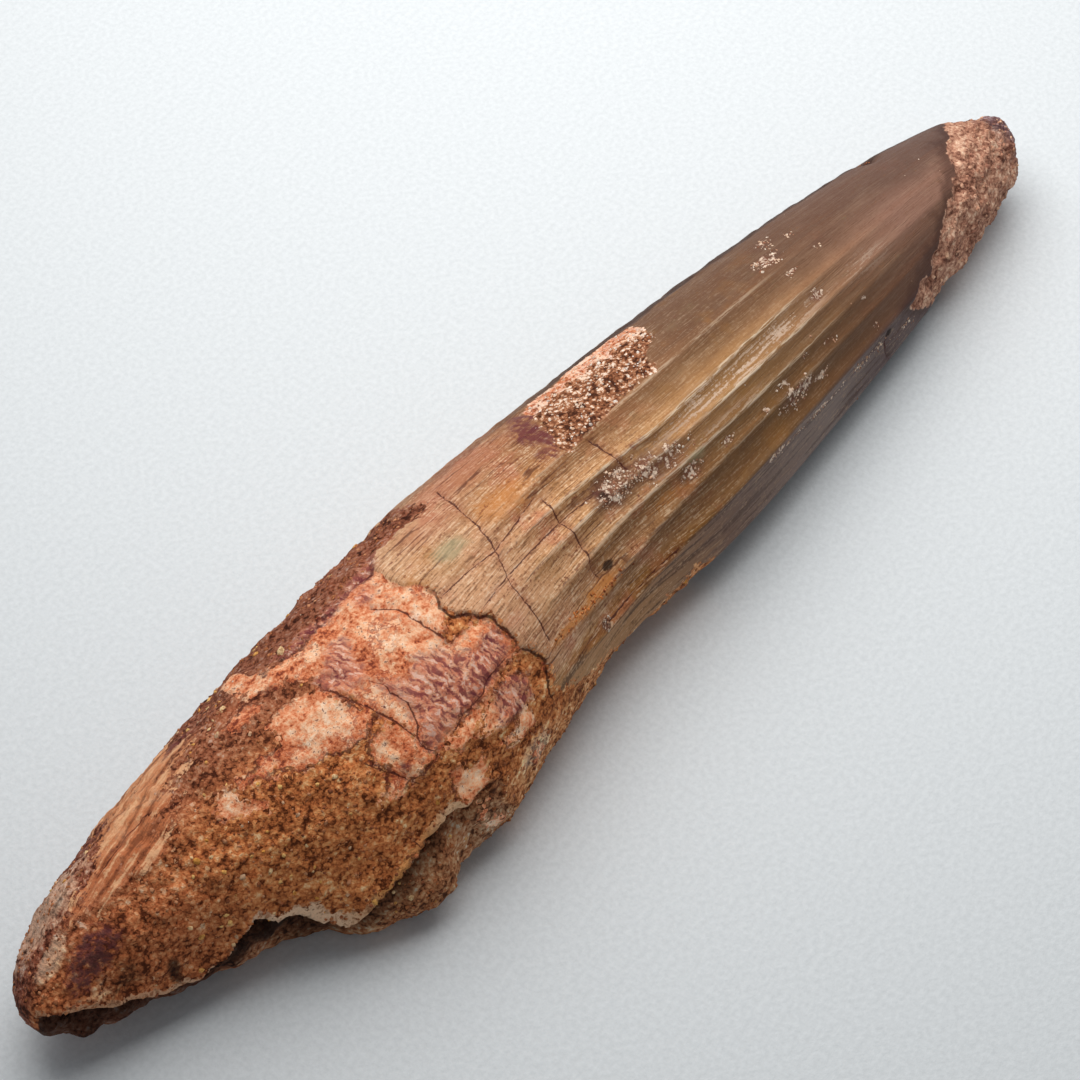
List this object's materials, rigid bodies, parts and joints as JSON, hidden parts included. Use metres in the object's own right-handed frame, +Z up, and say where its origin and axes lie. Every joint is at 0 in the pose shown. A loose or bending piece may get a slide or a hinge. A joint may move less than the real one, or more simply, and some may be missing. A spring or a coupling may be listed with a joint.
{
  "type": "fossil tooth",
  "caption": "Long conical fossil spinosaurus tooth with a fluted brown crown and a broken root crusted with reddish sandstone, lying on its side.",
  "frame": {"origin": "middle of the tooth's box, on the surface that it rests on", "axes": "+X along the tooth towards the tip, +Y towards the smooth bulging edge, +Z up from the surface that it rests on"},
  "size_m": [0.125, 0.0242, 0.0182],
  "materials": {
    "fossil": "Dark golden-brown fluted enamel with a dull polish, cream and peach bone at the root, and rough reddish-brown sandstone crust."
  },
  "bodies": {
    "root": {"tooth": "fossil"}
  },
  "joints": []
}
